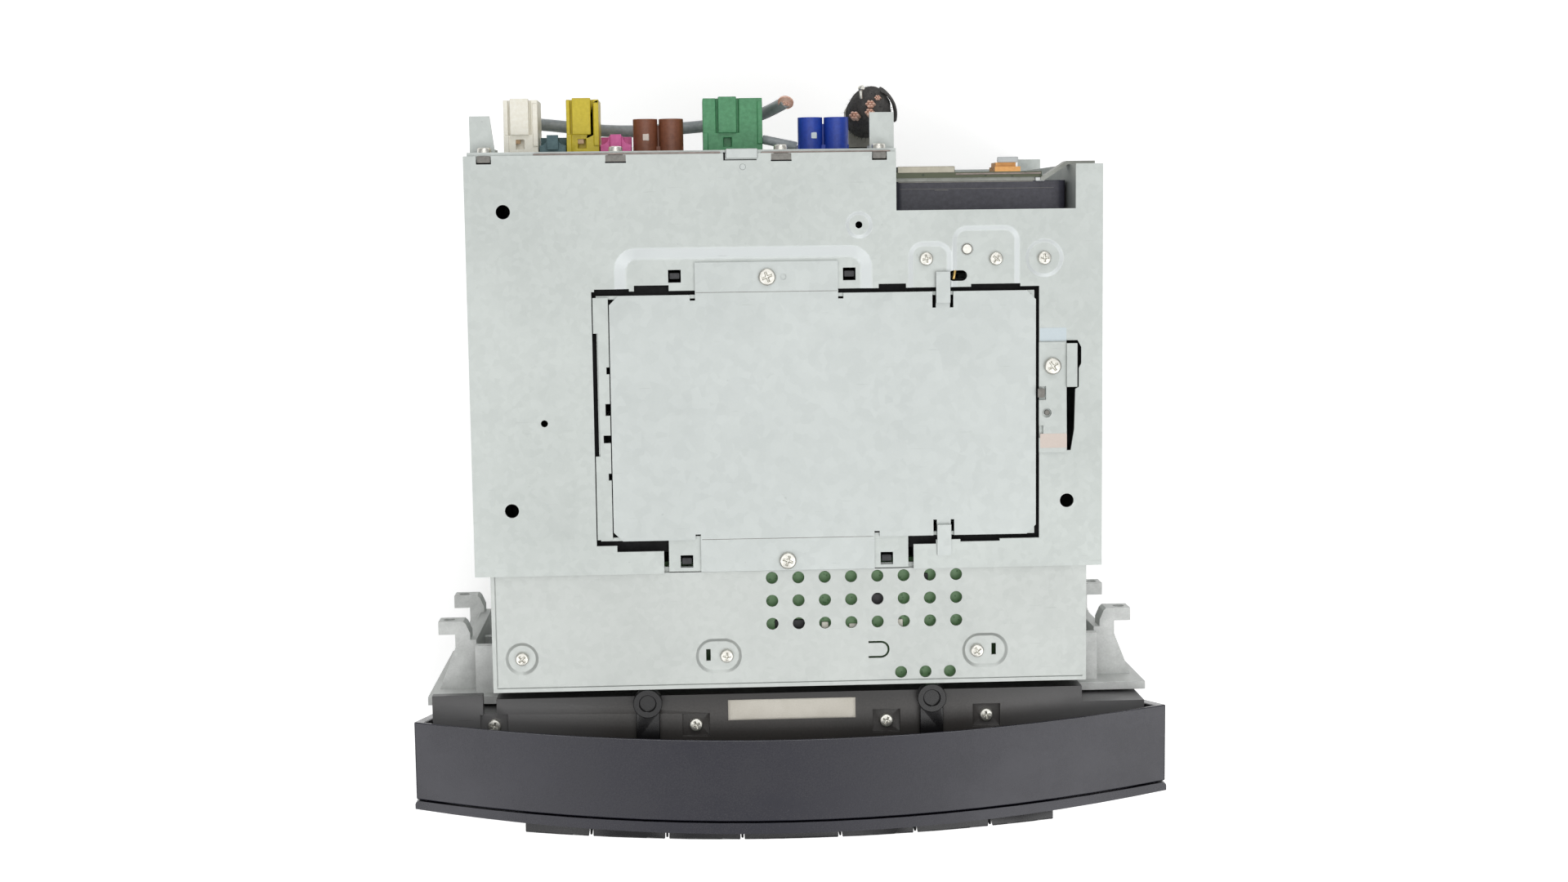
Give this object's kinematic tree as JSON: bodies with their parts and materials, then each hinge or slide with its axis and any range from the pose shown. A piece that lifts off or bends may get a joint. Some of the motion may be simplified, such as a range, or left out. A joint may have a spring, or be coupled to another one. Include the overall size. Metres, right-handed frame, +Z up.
{
  "type": "car navigation radio",
  "caption": "Two-slot-high car radio with a disc drive under a punched metal cover, a bowed fascia with keys and knobs, cast side brackets, and a fan and sockets at the rear.",
  "frame": {"origin": "middle of the chassis' flat bottom face", "axes": "+Z up through the top cover, front faces -Y, rear sockets face +Y, +X to the right seen from behind the camera of the picture"},
  "size_m": [0.2168, 0.2195, 0.104],
  "materials": {
    "black_gloss": "satin gloss",
    "black_shell": "fine matte grain",
    "blue_plastic": "moulded",
    "brass_gear": "cut",
    "bright_sheet": "smooth bright plate",
    "brown_plastic": "moulded",
    "cast_alloy": "die-cast, fine grain",
    "cream_plastic": "moulded",
    "dark_board": "dark solder mask",
    "display_dark": "dark screen",
    "dull_sheet": "dull plated sheet",
    "fan_black": "moulded",
    "gear_white": "moulded nylon",
    "green_board": "solder mask",
    "green_plastic": "moulded",
    "grey_cord": "dull sheath",
    "grey_rubber": "dull",
    "key_black": "soft-touch matte",
    "lens_glass": "smoked, polished",
    "motor_steel": "drawn can",
    "orange_plastic": "moulded",
    "pink_plastic": "moulded",
    "steel_screw": "zinc-plated, bright",
    "tape_black": "wound cloth tape",
    "teal_plastic": "moulded",
    "yellow_plastic": "moulded",
    "zinc_sheet": "pale spangled zinc plate, satin"
  },
  "bodies": {
    "housing": {"blue_jacks": "blue_plastic", "brown_jacks": "brown_plastic", "carrier": "black_shell", "chassis_tray": "zinc_sheet", "cream_coupler": "cream_plastic", "display_lens": "lens_glass", "display_module": "display_dark", "drive_bracket": "zinc_sheet", "drive_cover": "bright_sheet", "drive_frame": "dull_sheet", "drive_motors": "motor_steel", "drive_strip": "dull_sheet", "encoders": "motor_steel", "fan_board": "dark_board", "fan_bracket": "dull_sheet", "fan_connector": "orange_plastic", "fan_frame": "fan_black", "fascia_frame": "black_shell", "front_bezel": "black_shell", "front_panel": "black_gloss", "front_shell": "zinc_sheet", "green_coupler": "green_plastic", "grey_cable": "grey_cord", "guide_rods": "steel_screw", "key_board": "green_board", "key_mat": "grey_rubber", "large_screws": "steel_screw", "left_bracket": "cast_alloy", "locating_pegs": "black_gloss", "loom_plug": "cream_plastic", "loom_stub": "tape_black", "main_board": "green_board", "main_socket": "black_shell", "pink_socket": "pink_plastic", "power_board": "dark_board", "rear_panel": "zinc_sheet", "right_bracket": "cast_alloy", "small_screws": "steel_screw", "teal_socket": "teal_plastic", "upper_cover": "zinc_sheet", "yellow_coupler": "yellow_plastic"},
    "top_key_1": {"top_key_1": "key_black"},
    "top_key_2": {"top_key_2": "key_black"},
    "top_key_3": {"top_key_3": "key_black"},
    "top_key_4": {"top_key_4": "key_black"},
    "top_key_5": {"top_key_5": "key_black"},
    "top_key_6": {"top_key_6": "key_black"},
    "top_key_7": {"top_key_7": "key_black"},
    "side_key_1": {"side_key_1": "key_black"},
    "side_key_2": {"side_key_2": "key_black"},
    "side_key_3": {"side_key_3": "key_black"},
    "side_key_4": {"side_key_4": "key_black"},
    "volume_knob": {"volume_knob": "black_gloss"},
    "tuning_knob": {"tuning_knob": "black_gloss"},
    "fan_rotor": {"fan_rotor": "fan_black"},
    "load_roller": {"load_roller": "grey_rubber"},
    "idler_gear": {"idler_gear": "gear_white"},
    "motor_pinion": {"motor_pinion": "brass_gear"},
    "turntable": {"turntable": "black_gloss"},
    "laser_sled": {"laser_sled": "cast_alloy"}
  },
  "joints": [
    {"name": "top_key_1_press", "type": "slide", "parent": "housing", "child": "top_key_1", "axis": [0, 1, 0], "range_m": [0, 0.0008], "stiffness_N_per_m": 1500},
    {"name": "top_key_2_press", "type": "slide", "parent": "housing", "child": "top_key_2", "axis": [0, 1, 0], "range_m": [0, 0.0008], "stiffness_N_per_m": 1500},
    {"name": "top_key_3_press", "type": "slide", "parent": "housing", "child": "top_key_3", "axis": [0, 1, 0], "range_m": [0, 0.0008], "stiffness_N_per_m": 1500},
    {"name": "top_key_4_press", "type": "slide", "parent": "housing", "child": "top_key_4", "axis": [0, 1, 0], "range_m": [0, 0.0008], "stiffness_N_per_m": 1500},
    {"name": "top_key_5_press", "type": "slide", "parent": "housing", "child": "top_key_5", "axis": [0, 1, 0], "range_m": [0, 0.0008], "stiffness_N_per_m": 1500},
    {"name": "top_key_6_press", "type": "slide", "parent": "housing", "child": "top_key_6", "axis": [0, 1, 0], "range_m": [0, 0.0008], "stiffness_N_per_m": 1500},
    {"name": "top_key_7_press", "type": "slide", "parent": "housing", "child": "top_key_7", "axis": [0, 1, 0], "range_m": [0, 0.0008], "stiffness_N_per_m": 1500},
    {"name": "side_key_1_press", "type": "slide", "parent": "housing", "child": "side_key_1", "axis": [0, 1, 0], "range_m": [0, 0.0008], "stiffness_N_per_m": 1500},
    {"name": "side_key_2_press", "type": "slide", "parent": "housing", "child": "side_key_2", "axis": [0, 1, 0], "range_m": [0, 0.0008], "stiffness_N_per_m": 1500},
    {"name": "side_key_3_press", "type": "slide", "parent": "housing", "child": "side_key_3", "axis": [0, 1, 0], "range_m": [0, 0.0008], "stiffness_N_per_m": 1500},
    {"name": "side_key_4_press", "type": "slide", "parent": "housing", "child": "side_key_4", "axis": [0, 1, 0], "range_m": [0, 0.0008], "stiffness_N_per_m": 1500},
    {"name": "volume_turn", "type": "hinge", "parent": "housing", "child": "volume_knob", "pos_m": [-0.081, -0.1155, 0.023], "axis": [0, -1, 0], "continuous": true},
    {"name": "tuning_turn", "type": "hinge", "parent": "housing", "child": "tuning_knob", "pos_m": [0.081, -0.1155, 0.023], "axis": [0, -1, 0], "continuous": true},
    {"name": "fan_spin", "type": "hinge", "parent": "housing", "child": "fan_rotor", "pos_m": [0.0567, 0.0645, 0.063], "axis": [0, 1, 0], "continuous": true},
    {"name": "roller_spin", "type": "hinge", "parent": "housing", "child": "load_roller", "pos_m": [-0.0565, -0.022, 0.0739], "axis": [1, 0, 0], "continuous": true},
    {"name": "idler_spin", "type": "hinge", "parent": "housing", "child": "idler_gear", "pos_m": [-0.0565, -0.00546, 0.06788], "axis": [1, 0, 0], "continuous": true},
    {"name": "pinion_spin", "type": "hinge", "parent": "housing", "child": "motor_pinion", "pos_m": [-0.0565, 0.00894, 0.06788], "axis": [1, 0, 0], "continuous": true},
    {"name": "disc_spin", "type": "hinge", "parent": "housing", "child": "turntable", "pos_m": [0.0083, 0.002, 0.0769], "axis": [0, 0, 1], "continuous": true},
    {"name": "sled_slide", "type": "slide", "parent": "housing", "child": "laser_sled", "axis": [1, 0, 0], "range_m": [0, 0.026]}
  ],
  "couplings": [
    {"joint": "idler_spin", "follows": "roller_spin", "ratio": -0.69231},
    {"joint": "pinion_spin", "follows": "roller_spin", "ratio": 1.8}
  ]
}
